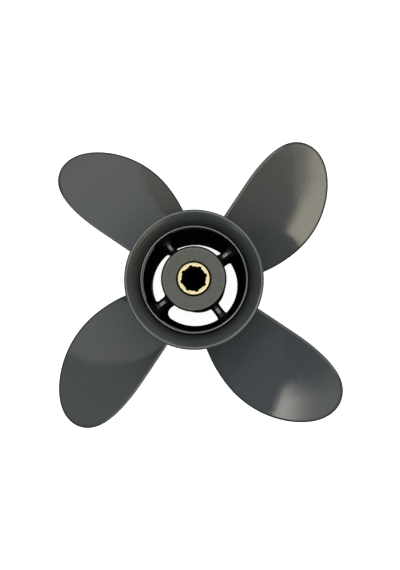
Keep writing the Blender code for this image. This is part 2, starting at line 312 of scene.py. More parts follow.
def blade_outline(samples):
    """The outline as (radius in metres, angle in radians), and the index of its tip."""
    outline = spline_curve(LEADING_EDGE + TRAILING_EDGE, np.linspace(0, 1, samples))
    outline = np.stack([outline[:, 0] * MM, np.radians(outline[:, 1])], axis=1)
    return outline, outline[:, 0].argmax()


outline, tip = blade_outline(8001)
tip_radius, tip_angle = outline[tip, 0] / MM, math.degrees(outline[tip, 1])
print("blade tip at", round(tip_radius, 2), "mm and", round(tip_angle, 2), "degrees")

# %% [markdown]
# ## Sections of a blade
# Each row of the grid is the section that a cylinder round the shaft cuts from the blade. The face that
# pushes the water is flat along the screw surface, and the back bulges as a parabola. Close to the outline
# the thickness falls off as a quarter of an ellipse, which rounds the edge evenly all the way round the
# tip, where a Solidify modifier would leave a square rim. At the root a fillet grows the section on all
# sides. Each point keeps its distance to the outline and its side of the blade, for the paint.

# %% Rows of a blade, and each point's distance to the outline
ROOT_FILLET = 5.5 * MM
CHORD_STEPS, SPAN_ROWS, FILLET_ROWS, TIP_CROWDING = 64, 78, 13, 1.8


def blade_rows():
    """Each row's radius and its angles at the leading and the trailing edge, as columns.

    The rows crowd into the root's fillet as 1 - cos, and toward the tip as a power of the way to it.
    """
    arcs = ROOT_FILLET * (1 - np.cos(np.linspace(0.09, math.pi / 2, FILLET_ROWS)))
    span = np.linspace(1, 0.01, SPAN_ROWS)[1:] ** TIP_CROWDING
    reach = outline[tip, 0] - BARREL_RADIUS - ROOT_FILLET
    radius = np.concatenate([[-OVERLAP], arcs, ROOT_FILLET + reach * (1 - span)]) + BARREL_RADIUS
    start = np.interp(radius, outline[: tip + 1, 0], outline[: tip + 1, 1])
    end = np.interp(radius, outline[tip:, 0][::-1], outline[tip:, 1][::-1])
    return radius[:, None], start[:, None], end[:, None]


def distance_to_outline(radius, angle, stretch):
    """Distance of grid points to the nearest stretch of outline, measured along the blade's surface.

    A point's distance to a segment a-b is that to a + t (b - a), with t its projection clipped to 0..1.
    """
    line, _ = blade_outline(401)
    a, b = line[:-1], line[1:]
    from_a = [(angle[..., None] - a[:, 1]) * stretch[..., None], radius[..., None] - a[:, 0]]
    along = [(b - a)[:, 1] * stretch[..., None], (b - a)[:, 0] + 0 * stretch[..., None]]
    share = (from_a[0] * along[0] + from_a[1] * along[1]) / (along[0] ** 2 + along[1] ** 2)
    share = np.clip(share, 0, 1)
    return np.hypot(from_a[0] - share * along[0], from_a[1] - share * along[1]).min(axis=-1)


row_radius = blade_rows()[0].ravel() / MM
print(len(row_radius), "rows from radius", round(row_radius[0], 1), "to", round(row_radius[-1], 1), "mm")

# %% Thickness of a section
ROOT_THICKNESS, TIP_THICKNESS, EDGE_THICKNESS = 8.0 * MM, 2.8 * MM, 2.2 * MM
TIP_RADIUS, EDGE_ROUNDING, FACE_ABOVE = 127.0 * MM, 1.3 * MM, 0.7 * MM


def section_rings(radius, start, end, stretch):
    """Rings of (along, above) the helix, each point's edge distance, and 1 on the face's trailing half.

    The thickness is a parabola 4 t (1 - t) over the chord plus the edge's, all times
    sqrt(1 - (1 - d / e)^2) within e of the outline.
    """
    across = (1 - np.cos(np.linspace(0, math.pi, CHORD_STEPS + 1))) / 2
    angle = start + (end - start) * across
    chord = (angle - start) * radius * stretch
    distance = distance_to_outline(radius + 0 * angle, angle, radius * stretch + 0 * angle)
    toward_tip = np.clip((radius - BARREL_RADIUS) / (TIP_RADIUS - BARREL_RADIUS), 0, 1)
    thickest = ROOT_THICKNESS + (TIP_THICKNESS - ROOT_THICKNESS) * toward_tip
    lens = np.minimum(thickest - EDGE_THICKNESS, chord[:, -1:] / 4) * 4 * across * (1 - across)
    rounding = np.sqrt(1 - (1 - np.clip(distance / EDGE_ROUNDING, 0, 1)) ** 2)
    rounding[:, [0, -1]] = 0
    above = EDGE_THICKNESS / 2 * rounding + FACE_ABOVE - EDGE_THICKNESS / 2
    below = -(lens + EDGE_THICKNESS / 2) * rounding + FACE_ABOVE - EDGE_THICKNESS / 2
    back = slice(-2, 0, -1)
    along = np.concatenate([chord, chord[:, back]], axis=1)
    ring = np.stack([along, np.concatenate([above, below[:, back]], axis=1)])
    edge_distance = np.concatenate([distance, distance[:, back]], axis=1)
    trailing = np.concatenate([across > 0.5, np.zeros(CHORD_STEPS - 1)]) + 0 * edge_distance
    return ring, edge_distance, trailing


unpitched, _, _ = section_rings(*blade_rows(), stretch=1.0)
print("sections:", unpitched.shape, "thickest", round(np.ptp(unpitched[1], axis=1).max() / MM, 2), "mm")

# %% Four blades on the screw surface
PITCH, PITCH_RADIUS, PITCH_GROWTH, RAKE = 216.0 * MM, 82.55 * MM, 0.6, 0.08
MIDDLE_ANGLE, MIDDLE_HEIGHT = 42.0, HUB_LENGTH - 42.0 * MM


def blade():
    """The blade from inside the barrel's wall to its tip, as a skin with its two attributes.

    On the unrolled cylinder of radius r a section lies along the helix of slope pitch / (2 pi r). The root
    fillet moves each point along the section's own outward normal. The ring then turns onto the helix,
    climbs by the pitch and the rake, and is rolled up again: x = r cos a, y = r sin a.
    """
    radius, start, end = blade_rows()
    pitch = PITCH + PITCH_GROWTH * (radius - PITCH_RADIUS)
    slope = pitch / (2 * math.pi * radius)
    stretch = np.hypot(1, slope)
    ring, edge_distance, trailing = section_rings(radius, start, end, stretch)
    step = np.roll(ring, -1, axis=2) - np.roll(ring, 1, axis=2)
    outwards = np.stack([-step[1], step[0]]) / np.maximum(np.hypot(*step), 1e-9)
    ring = ring + outwards * fillet(radius - BARREL_RADIUS, ROOT_FILLET)
    around = (ring[0] - slope * ring[1]) / stretch
    height = (slope * ring[0] + ring[1]) / stretch
    height = height + MIDDLE_HEIGHT + RAKE * (radius - PITCH_RADIUS)
    height = height + pitch * (start - math.radians(MIDDLE_ANGLE)) / (2 * math.pi)
    turn = start + around / radius
    grid = np.stack([radius * np.cos(turn), radius * np.sin(turn), height], -1)
    return capped(grid), edge_distance.ravel(), trailing.ravel()


(blade_points, blade_quads), edge_distance, trailing = blade()
blades = [(turned_about_z(blade_points, 360 / BLADES * k), blade_quads) for k in range(BLADES)]
print("blade:", blade_points.shape, "box mm", (np.ptp(blade_points, axis=0) / MM).round(1))

# %% [markdown]
# ## The casting
# Barrel, inner hub, webs and blades are one piece of aluminium. A Boolean union could join them, but it
# cuts neat grids into slivers that shade badly. So the skins simply run on into each other's metal, where
# nobody sees them, and make one object that stands in for the part's own node. The points of the hub get a
# far edge distance, so that the marks along the blades' edges stay off it.

# %% The casting in one piece
SHARP = math.radians(40)
FAR = 0.05


def mesh_object(name, points, quads):
    """A mesh object made of a skin's points and quads, in the scene."""
    mesh = bpy.data.meshes.new(name)
    mesh.from_pydata(points.tolist(), [], quads.tolist())
    made = bpy.data.objects.new(name, mesh)
    bpy.context.scene.collection.objects.link(made)
    return made


def add_piece(name, skins, node, attributes=None):
    """One object from a list of skins; it rides on the root body in place of its CAD node."""
    offsets = np.cumsum([0] + [len(points) for points, _ in skins])
    points = np.concatenate([points for points, _ in skins])
    quads = np.concatenate([quads + offset for (_, quads), offset in zip(skins, offsets)])
    piece = mesh_object(name, points, quads)
    for key, values in (attributes or {}).items():
        made = piece.data.attributes.new(key, "FLOAT", "POINT")
        made.data.foreach_set("value", values.astype(np.float32))
    piece.data.shade_smooth()
    piece.data.set_sharp_from_angle(angle=SHARP)
    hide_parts(node)
    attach(piece, "root")
    print(f"{name}: {2 * len(quads)} triangles in {len(skins)} skins")
    return piece


hub = [barrel, inner_hub, *webs]
plain = np.ones(sum(len(points) for points, _ in hub))
casting = add_piece("casting", [*hub, *blades], "propeller_casting", {
    "edge_distance": np.concatenate([plain * FAR, np.tile(edge_distance, BLADES)]),
    "trailing": np.concatenate([plain * 0, np.tile(trailing, BLADES)]),
})

# %% [markdown]
# ## Brass sleeve
# The sleeve is a turned brass tube with eight grooves broached through its bore, into which the shaft's
# splines fit. A tube cut by eight boxes would have knife edges. Here the columns of one grid go round, and
# its rows go up the outside, over the end face and down the bore. The bore's radius is a function of the
# angle: it eases from land to groove over a short flank.

# %% The sleeve's bore
SPLINES, SPLINE_ANGLE, COLUMNS = 8, 15.0, 480
GROOVE_RADIUS, LAND_RADIUS = 8.5 * MM, 7.7 * MM
GROOVE_REACH, FLANK = math.radians(8.6), math.radians(2.2)
LEAD_IN = 0.3 * MM


def bore_radius(angle):
    """Land radius plus the groove's depth times s^2 (3 - 2 s), s falling from 1 to 0 over a flank."""
    period = 2 * math.pi / SPLINES
    offset = (angle - math.radians(SPLINE_ANGLE) + period / 2) % period - period / 2
    flank = np.clip((GROOVE_REACH - np.abs(offset)) / FLANK, 0, 1)
    return LAND_RADIUS + (GROOVE_RADIUS - LAND_RADIUS) * flank * flank * (3 - 2 * flank)


def lead_in(bore, end, inward, angles):
    """Rows of the bore's rounded entry: radius bore + l (1 - sin a), at l (1 - cos a) from its end."""
    inward = inward * LEAD_IN
    return [(bore + LEAD_IN * (1 - math.sin(a)), end + inward * (1 - math.cos(a))) for a in angles]


around = np.arange(COLUMNS) * 2 * math.pi / COLUMNS
in_groove = bore_radius(around) > (GROOVE_RADIUS + LAND_RADIUS) / 2
print("share of the bore that is groove:", round(in_groove.mean(), 2))

# %% The sleeve's grid
SLEEVE_RADIUS, SLEEVE_FRONT, SLEEVE_AFT = 10.2 * MM, 2.0 * MM, HUB_FACE + 1.0 * MM
CHAMFER = 0.45 * MM


def sleeve():
    """Rows: front face, outside with rounded edges, aft face, then the bore, all closed into a ring."""
    bore, shoulder = bore_radius(around), SLEEVE_RADIUS - CHAMFER
    outside = np.concatenate([
        arc((shoulder, SLEEVE_FRONT + CHAMFER), CHAMFER, -90, 0, 4),
        [(SLEEVE_RADIUS, (SLEEVE_FRONT + SLEEVE_AFT) / 2)],
        arc((shoulder, SLEEVE_AFT - CHAMFER), CHAMFER, 0, 90, 6),
    ])
    rows = [(radius + 0 * bore, height) for radius, height in outside]
    rows += [(shoulder * (1 - t) + (bore + LEAD_IN) * t, SLEEVE_AFT) for t in (0.35, 0.7, 1.0)]
    rows += lead_in(bore, SLEEVE_AFT, -1, (0.5, 1.0, math.pi / 2))
    inside = np.linspace(SLEEVE_AFT - 2 * LEAD_IN, SLEEVE_FRONT + 2 * LEAD_IN, 5)
    rows += [(bore, height) for height in inside]
    rows += lead_in(bore, SLEEVE_FRONT, 1, (math.pi / 2, 0.8, 0.0))
    radius = np.stack([row for row, _ in rows])
    height = np.array([level for _, level in rows])[:, None]
    grid = np.stack([radius * np.cos(around), radius * np.sin(around), height + 0 * radius], -1)
    return outward(grid.reshape(-1, 3), grid_quads(*radius.shape, closed=True))


brass_sleeve = add_piece("brass_sleeve", [sleeve()], "splined_sleeve")

# %% [markdown]
# ## Rubber bushing
# The bushing is pressed between the sleeve and the inner hub, and lets the hub slip when a blade strikes
# something. It shows from the front end only: a face that sinks a little between its two edges, because
# the rubber is squeezed at its rims. A turned profile with a shallow parabola for that face is enough.

# %% The bushing
BUSHING_FRONT, SEAT_GAP = 8.0 * MM, 0.3 * MM
BUSHING_EDGE, DISH = 0.6 * MM, 1.2 * MM


def bushing_profile():
    """Closed section; the front face sinks by a parabola 4 t (1 - t) between two rounded edges."""
    inner, outer = SLEEVE_RADIUS + SEAT_GAP, INNER_HUB_BORE - SEAT_GAP
    low, high = BUSHING_FRONT + BUSHING_EDGE, HUB_FACE - FACE_WALL - SEAT_GAP - BUSHING_EDGE
    share = np.linspace(0, 1, 14)
    face = inner + BUSHING_EDGE + (outer - inner - 2 * BUSHING_EDGE) * share
    return np.concatenate([
        np.stack([face, BUSHING_FRONT + DISH * 4 * share * (1 - share)], -1),
        arc((outer - BUSHING_EDGE, low), BUSHING_EDGE, -90, 0, 4)[1:],
        arc((outer - BUSHING_EDGE, high), BUSHING_EDGE, 0, 90, 4),
        arc((inner + BUSHING_EDGE, high), BUSHING_EDGE, 90, 180, 4),
        arc((inner + BUSHING_EDGE, low), BUSHING_EDGE, 180, 270, 4)[:-1],
    ])


bushing_skin = turned(bushing_profile(), segments=128)
bushing = add_piece("bushing", [bushing_skin], "rubber_bushing")

# %% [markdown]
# ## Writing shaders as arithmetic
# A finish is a formula over the surface: masks times colours. Wiring it node by node hides the formula, so
# a small class wraps a socket, and Python's operators add the Math nodes. One method makes any other node.
# Masks over a length are asked for so often that they get words of their own, with limits in millimetres.


# %% A socket that can be calculated with
class Socket:
    """An output in a node tree; operators on it add Math nodes and return their outputs."""

    def __init__(self, tree, output=None):
        self.tree, self.output = tree, output

    def node(self, kind, settings=None, output=0, **inputs):
        """Adds a node: settings are its properties, inputs its sockets by name, or by s and a number."""
        made = self.tree.nodes.new(kind)
        for key, value in (settings or {}).items():
            if key == "stops":
                while len(made.color_ramp.elements) < len(value):
                    made.color_ramp.elements.new(1.0)
                for stop, (place, colour) in zip(made.color_ramp.elements, value):
                    stop.position, stop.color = place, (*colour, 1.0)
            else:
                setattr(made, key, value)
        for key, value in inputs.items():
            number = key[1:] if key[0] == "s" and key[1:].isdigit() else None
            target = made.inputs[int(number)] if number else made.inputs[key.replace("_", " ")]
            if isinstance(value, Socket):
                self.tree.links.new(value.output, target)
            else:
                target.default_value = value
        return Socket(self.tree, made.outputs[output] if len(made.outputs) else None)

    def maths(self, operation, first, second=0.0):
        return self.node("ShaderNodeMath", {"operation": operation}, s0=first, s1=second)

    def __add__(self, other):
        return self.maths("ADD", self, other)

    def __sub__(self, other):
        return self.maths("SUBTRACT", self, other)

    def __rsub__(self, other):
        return self.maths("SUBTRACT", other, self)

    def __mul__(self, other):
        return self.maths("MULTIPLY", self, other)

    __radd__, __rmul__ = __add__, __mul__

    def larger(self, other):
        return self.maths("MAXIMUM", self, other)

    def step(self, low, high):
        """0 below low, 1 above high, and a smooth rise between."""
        return self.node("ShaderNodeMapRange", {"interpolation_type": "SMOOTHSTEP"},
                         Value=self, From_Min=low, From_Max=high)

    def beyond(self, low, high):
        """The same for a length: 0 up to low and 1 from high on, both in millimetres."""
        return self.step(low * MM, high * MM)

    def within(self, low, high):
        """1 up to low and 0 from high on, both in millimetres."""
        return 1 - self.beyond(low, high)

    def between(self, rise, fall):
        """1 between two borders, each given as the (low, high) of its slope in millimetres."""
        return self.beyond(*rise) * self.within(*fall)

    def near(self, middle, core, fade):
        """1 within core of a middle and 0 from fade on, all in millimetres."""
        return self.maths("ABSOLUTE", self - middle * MM).within(core, fade)

    def blend(self, low, high):
        """Mixes two colours, this value being the factor."""
        return self.node("ShaderNodeMix", {"data_type": "RGBA"}, output=2, s0=self, s6=low, s7=high)


print("a socket understands:", [word for word in vars(Socket) if not word.startswith("__")])


# %% A material under construction
class Finish(Socket):
    """A material under construction, with what its patterns are made from."""

    def __init__(self, name):
        self.material = bpy.data.materials.new(name)
        self.material.use_nodes = True
        self.material.node_tree.nodes.clear()
        super().__init__(self.material.node_tree)
        self.place = self.node("ShaderNodeTexCoord", output="Object")

    def noise(self, scale, detail=3.0, roughness=0.5):
        """Noise from 0 to 1 over the object; scale is in cycles per metre."""
        return self.node("ShaderNodeTexNoise",
                         Vector=self.place, Scale=scale, Detail=detail, Roughness=roughness)

    def attribute(self, name):
        """The number that the mesh keeps at each point under this name."""
        return self.node("ShaderNodeAttribute", {"attribute_name": name}, output=2)

    def radius(self):
        """Distance from the shaft axis, in metres."""
        across = (1.0, 1.0, 0.0)
        flat = self.node("ShaderNodeVectorMath", {"operation": "MULTIPLY"}, s0=self.place, s1=across)
        return self.node("ShaderNodeVectorMath", {"operation": "LENGTH"}, output=1, s0=flat)

    def height(self):
        """Height above the hub's front end, in metres."""
        return self.node("ShaderNodeSeparateXYZ", output=2, s0=self.place)

    def bump(self, height, distance, strength=1.0):
        """A bump normal from a height from 0 to 1; distance is its depth in metres."""
        return self.node("ShaderNodeBump", Height=height, Distance=distance, Strength=strength)

    def surface(self, **inputs):
        return self.node("ShaderNodeBsdfPrincipled", **inputs)

    def either(self, mask, first, second):
        """The first shader where the mask is 0, the second where it is 1."""
        return self.node("ShaderNodeMixShader", s0=mask, s1=first, s2=second)

    def close(self, shader, *pieces):
        """Ends the material at its output and gives it to the pieces."""
        self.node("ShaderNodeOutputMaterial", s0=shader)
        for piece in pieces:
            piece.data.materials.clear()
            piece.data.materials.append(self.material)
        print(f"{self.material.name}: {len(self.tree.nodes)} nodes")


coat = Finish("dark_grey_paint")
print("first material:", coat.material.name)

# %% [markdown]
# ## Dark grey paint
# The casting is sprayed in a dark blue-grey gloss paint. Its tone drifts a little over each blade, and fine
# flecks pale it. The spray leaves an orange peel, which feathers the edge of each reflection, and the cast
# metal below waves, which bends them. One bump from noise at three scales gives both. It is faint, since
# gloss shows a slope of a fraction of a degree.

# %% The grey and its orange peel
COOL_GREY, MILD_GREY = (0.050, 0.059, 0.068, 1), (0.057, 0.065, 0.070, 1)
FLECK_GREY, FLECK_SHARE = (0.066, 0.073, 0.075, 1), 0.3
DRIFT, FLECKS, WAVES, COARSE_PEEL, FINE_PEEL = 16, 260, 28, 520, 1300
COARSE_SHARE, FINE_SHARE, PEEL_DEPTH = 0.030, 0.050, 0.20 * MM

radius, height = coat.radius(), coat.height()
fleck = coat.noise(FLECKS, detail=3, roughness=0.6).step(0.3, 0.75)
grey = coat.noise(DRIFT, detail=2).step(0.35, 0.65).blend(COOL_GREY, MILD_GREY)
grey = (fleck * FLECK_SHARE).blend(grey, FLECK_GREY)
waves = coat.noise(WAVES, detail=1) + coat.noise(COARSE_PEEL, detail=1) * COARSE_SHARE
waves = waves + coat.noise(FINE_PEEL, detail=1) * FINE_SHARE
peel = coat.bump(waves, PEEL_DEPTH)
print("nodes for the grey and its peel:", len(coat.tree.nodes))

# %% [markdown]
# ## Dust, painted sheen, painted highlights and bare metal
# The face of the inner hub is painted paler than the rest of the paint, as painted sheen of the light from
# above, with a grain of dust in it. Thin painted highlights run along the edge of that face, the rim's lip
# and the blades' trailing edges. The little bead in the funnel is machined bare and painted light as a
# highlight. Such marks could be painted by hand into an image, but each lies at one radius, one height or
# one distance from the outline, so a mask over that length draws it cleanly at any size. A mask's border is
# a pair of millimetres, where its slope starts and ends. The webs' crests get a painted highlight, paler
# than the soot beside them. The webs' crests catch the light and stay paler than the soot beside them.

# %% Masks of the dust, the painted sheen and the painted highlights
# Painted sheen with a dusty grain: the hub's face is painted paler than the rest, as if lit from above.
DUST_SHEEN_DARK, DUST_SHEEN_PALE = (0.066, 0.070, 0.064, 1), (0.100, 0.101, 0.089, 1)
# Painted highlights: pale greys for the webs' crests, the thin lines along edges, and the bead.
CREST_HIGHLIGHT_GREY, HIGHLIGHT_GREY, BEAD_METAL_HIGHLIGHT = (0.24, 0.25, 0.24, 1), (0.165, 0.175, 0.180, 1), (0.235, 0.24, 0.235, 1)
FACE_HIGHLIGHT_SHARE, TRAILING_HIGHLIGHT_SHARE = 0.4, 0.5
FACE_END, FACE_LEVEL, FACE_RING, RING_LEVEL = (19.6, 19.9), (88.9, 89.3), 19.35, (88.9, 89.2)
THIN_LINE, BEAD_LEVELS = (0.15, 0.4), ((86.2, 86.5), (87.0, 87.5))
LIP_RING, LIP_LINE, LIP_LEVEL = 43.15, (0.1, 0.6), (90.6, 91.2)
TRAILING_RING, TRAILING_LINE, TRAILING_END = 0.6, (0.1, 0.4), (106.0, 119.0)
CREST_SPAN, CREST_LEVELS = ((23.4, 24.2), (27.0, 27.9)), ((82.0, 82.35), (84.5, 85.0))

edge, face_side = coat.attribute("edge_distance"), coat.attribute("trailing")
on_face = radius.within(*FACE_END) * height.beyond(*FACE_LEVEL)
# Painted highlight: a pale ring just inside the edge of the hub's face.
face_highlight = radius.near(FACE_RING, *THIN_LINE) * height.beyond(*RING_LEVEL)
# The bead is partly metallic, and painted pale as a highlight.
bead = radius.near(BEAD_RADIUS / MM, *THIN_LINE) * height.between(*BEAD_LEVELS)
# Painted highlight: a pale line along the crest of the rim's lip.
lip = radius.near(LIP_RING, *LIP_LINE) * height.beyond(*LIP_LEVEL)
aft_edge = face_side * radius.within(*TRAILING_END)
# Painted highlight: a pale line just inside the blades' trailing edges.
trailing_highlight = edge.near(TRAILING_RING, *TRAILING_LINE) * aft_edge
# Painted highlight: the webs' crests are painted pale and kept glossy.
crest_highlight = radius.between(*CREST_SPAN) * height.between(*CREST_LEVELS)
# All the thin painted highlights in one mask, painted in one pale grey.
highlit = (face_highlight * FACE_HIGHLIGHT_SHARE).larger(lip).larger(trailing_highlight * TRAILING_HIGHLIGHT_SHARE)
print("nodes with the masks of the worn places:", len(coat.tree.nodes))

# %% The glossy coat
DUST_GRAIN, BEAD_METALLIC = 900, 0.3

grain = coat.noise(DUST_GRAIN, detail=2, roughness=0.7).step(0.3, 0.7)
# Painted sheen on the hub's face: a pale grey with a dusty grain.
dust_and_sheen = (grain * 0.6 + fleck * 0.3).blend(DUST_SHEEN_DARK, DUST_SHEEN_PALE)
colour = crest_highlight.blend(on_face.blend(grey, dust_and_sheen), CREST_HIGHLIGHT_GREY)
colour = bead.blend(highlit.blend(colour, HIGHLIGHT_GREY), BEAD_METAL_HIGHLIGHT)
gloss = coat.surface(
    Base_Color=colour,
    Roughness=0.06 + fleck * 0.03 + on_face * 0.30,
    Metallic=bead * BEAD_METALLIC,
    Normal=peel,
)
print("nodes with the glossy coat:", len(coat.tree.nodes))

# %% [markdown]
# ## Soot and painted shade
# The exhaust leaves through the hub. Its black is soot and painted shade both: it darkens the walls, the
# webs and the funnel where shade falls. Near its aft end the walls and webs are black but still glossy,
# and the funnel has a thinner, duller coat, painted darker as shade. The rounded edge and side of the
# inner hub and the webs' ends by the barrel are painted black as shade. Deeper in, the soot is dry, with
# brown deposits toward the front. Gloss there would mirror the light from below at a flat angle, as a
# bright ring that the real bore doesn't show, so the dry coat is matte, with no reflection at all. The
# blades' leading edges get such a coat along a thin line, where they look dark in the photograph: a
# painted shade.

# %% Glossy soot and painted shade
# Soot black that is also painted shade, and a darker grey for the funnel's painted shade.
SOOT_AND_SHADE, FUNNEL_SOOT_AND_SHADE = (0.006, 0.006, 0.006, 1), (0.027, 0.033, 0.030, 1)
FUNNEL_SHARE, CREST_SHARE = 0.85, 0.8
HUB_SIDE, SOOT_SHADE_END, SOOT_SHADE_LEVEL = ((19.95, 20.15), (33.0, 33.3)), (35.9, 36.4), (85.3, 86.3)
FUNNEL_SPAN, FUNNEL_LEVEL = ((35.0, 35.8), (41.0, 42.9)), (84.9, 85.9)

# Soot and painted shade below the funnel and on the rounded edge and side of the inner hub.
below_funnel = radius.within(*SOOT_SHADE_END) * height.within(*SOOT_SHADE_LEVEL).larger(radius.between(*HUB_SIDE))
funnel = radius.between(*FUNNEL_SPAN) * height.beyond(*FUNNEL_LEVEL)
soot_and_shade_mask = below_funnel.larger(funnel * FUNNEL_SHARE) * (1 - crest_highlight * CREST_SHARE)
soot_and_shade = coat.surface(
    Base_Color=funnel.blend(SOOT_AND_SHADE, FUNNEL_SOOT_AND_SHADE),
    Roughness=0.16 + funnel * 0.4,
    Specular_IOR_Level=0.3,
    Normal=peel,
)
print("nodes with the glossy soot:", len(coat.tree.nodes))

# %% Dry soot, painted shade on the leading edges, and the three coats together
# Dry soot black that is also painted shade, and a dark grey painted shade for the leading edges.
DRY_SOOT_AND_SHADE, DEPOSIT, LEADING_EDGE_SHADE = (0.005, 0.006, 0.005, 1), (0.24, 0.175, 0.13, 1), (0.038, 0.046, 0.046, 1)
HUB_EDGE, WEB_ENDS = ((19.95, 20.15), (21.3, 21.6)), ((28.5, 30.5), (33.5, 33.7))
DRY_LEVEL, BORE_WALL = (77.0, 80.0), (35.0, 35.5)
LINE_WIDTH, LINE_START, LINE_TIP, TIP_FADE = (1.2, 2.1), (38.0, 43.0), (110.0, 124.0), 0.3
DEPOSIT_PATCHES, DEPOSIT_LEVEL = 150, (30.0, 72.0)

# Painted shade on the rounded edge of the inner hub and at the webs' ends by the barrel, with dry soot
# deeper in.
deep = height.within(*DRY_LEVEL).larger(radius.between(*HUB_EDGE)).larger(radius.between(*WEB_ENDS))
deep = deep * radius.within(*BORE_WALL)
# Painted shade: a dark line along the blades' leading edges, fainter toward the tip.
leading_edge_shade = edge.within(*LINE_WIDTH) * (1 - aft_edge) * radius.beyond(*LINE_START)
leading_edge_shade = leading_edge_shade * (1 - radius.beyond(*LINE_TIP) * TIP_FADE)
deposit = coat.noise(DEPOSIT_PATCHES, detail=4, roughness=0.7).step(0.48, 0.75)
deposit = deposit * height.within(*DEPOSIT_LEVEL)
# A matte coat of soot and painted shade.
matte_soot_and_shade = coat.surface(
    Base_Color=deep.blend(LEADING_EDGE_SHADE, deposit.blend(DRY_SOOT_AND_SHADE, DEPOSIT)),
    Roughness=0.9,
    Specular_IOR_Level=0.0,
)
glossy = coat.either(soot_and_shade_mask, gloss, soot_and_shade)
coat.close(coat.either(deep.larger(leading_edge_shade), glossy, matte_soot_and_shade), casting)

# %% [markdown]
# ## Brass
# The sleeve is bare brass, faced on a lathe: fine rings run round its end face, and the reflection streaks
# along them. A ring pattern could be a Wave texture, but its rings are all alike. Noise over the radius
# alone gives rings of uneven strength. The bore is painted black and matte, as painted shade.

# %% The brass
BRASS, TARNISH = (0.86, 0.74, 0.455, 1), (0.70, 0.575, 0.325, 1)
BORE_SHADE, RING_DEPTH = (0.012, 0.010, 0.007, 1), 0.02 * MM


def brass(pieces):
    """Turning marks = noise over (radius, a little height), so that they run in rings about the shaft."""
    finish = Finish("bare_brass")
    radius, height = finish.radius(), finish.height()
    across = finish.node("ShaderNodeCombineXYZ", X=radius, Y=height * 0.3)
    rings = finish.node("ShaderNodeTexNoise", Vector=across, Scale=6000.0, Detail=2.0)
    tarnish = finish.noise(600, detail=3).step(0.4, 0.75)
    # Painted shade: the sleeve's bore is painted black, matte and not metallic.
    bore_shade = radius.within(8.55, 8.9) * height.within(89.6, 90.35)
    shader = finish.surface(
        Base_Color=bore_shade.blend((tarnish * 0.6).blend(BRASS, TARNISH), BORE_SHADE),
        Roughness=(0.28 + tarnish * 0.14).larger(bore_shade * 0.6),
        Metallic=1 - bore_shade,
        Normal=finish.bump(rings, RING_DEPTH, 0.5),
    )
    finish.close(shader, *pieces)


brass([brass_sleeve])

# %% [markdown]
# ## Rubber
# The bushing's rubber is moulded and dull. Wax comes to its skin in patches, as a grey bloom, and the mould
# leaves a fine pebble. Noise does both: a broad one for the bloom, and a fine one as a bump.

# %% The rubber
RUBBER, BLOOM, PEBBLE_DEPTH = (0.012, 0.012, 0.012, 1), (0.035, 0.034, 0.032, 1), 0.05 * MM


def rubber(pieces):
    """Black, with bloom where a noise is high; the bloom is also rougher."""
    finish = Finish("black_rubber")
    bloom = finish.noise(160, detail=4).step(0.45, 0.8)
    shader = finish.surface(
        Base_Color=bloom.blend(RUBBER, BLOOM),
        Roughness=0.62 + bloom * 0.2,
        Normal=finish.bump(finish.noise(1800, detail=2), PEBBLE_DEPTH),
    )
    finish.close(shader, *pieces)


rubber([bushing])

# %% [markdown]
# ## Floor
# The photograph is cut out on white, and white shows through the exhaust passages too. A hub that stands
# on a floor keeps light out of them, so the floor glows by itself, and it bends up into a wall, as a
# photographer's paper cove does, so that low views have white behind them too. The glow is for the camera
# alone. It stays out of the paint, whose edges mirror a dark room in the photograph. A black pad under the
# sleeve is painted shade: it keeps the white out of the spline bore, which lies in shadow.

# %% The cove and the black pad of painted shade
PAPER, GLOW, PAPER_GLOW = (0.8, 0.8, 0.8, 1), (1, 1, 1, 1), 0.95
# The black pad is painted shade: a dark sheet where the spline bore lies in shadow.
SHADOW_PAD_BLACK = (0.003, 0.003, 0.003, 1)


def staged(name, skin):
    """A mesh object that belongs to the stage, not to the propeller."""
    made = mesh_object(name, *skin)
    return made


def cove(radius, height, bend):
    """A round white floor that bends up into a wall: a disc, a quarter circle and a cylinder, turned."""
    quarter = arc((radius - bend, bend), bend, -90, 0, 16)
    grid = ring_grid(np.concatenate([[(0.0, 0.0)], quarter, [(radius, height)]]), segments=96)
    made = staged("cove", (grid.reshape(-1, 3), grid_quads(*grid.shape[:2], closed=False)))
    made.data.shade_smooth()
    made.visible_glossy = made.visible_diffuse = made.visible_shadow = False
    finish = Finish("white_cove")
    paper = finish.surface(Base_Color=PAPER, Roughness=0.9, Specular_IOR_Level=0.1,
                           Emission_Color=GLOW, Emission_Strength=PAPER_GLOW)
    finish.close(paper, made)


def shadow_pad(radius, thickness):
    """A black disc of painted shade: two rings, one above the other, closed across both."""
    rings = ring_grid(np.array([[radius, 0.0], [radius, thickness]]), segments=48)
    made = staged("shadow_pad", capped(rings))
    finish = Finish("black_shadow_pad")
    finish.close(finish.surface(Base_Color=SHADOW_PAD_BLACK, Roughness=1.0, Specular_IOR_Level=0.0), made)


cove(radius=3.0, height=3.0, bend=0.8)
shadow_pad(radius=15 * MM, thickness=1 * MM)

# %% [markdown]
# ## Room
# A gloss paint shows what stands round it, so the room matters as much as the lamps. What the photograph's
# blades mirror is cool at the left, olive at the right and lighter at the back. An image of a room could
# light the scene, but steps over the ray's direction, its parts across, back and up, are enough. Below the
# horizon a grey sheen lights the undersides, and just above it the room is dark, as the blades' steep edges
# mirror it.

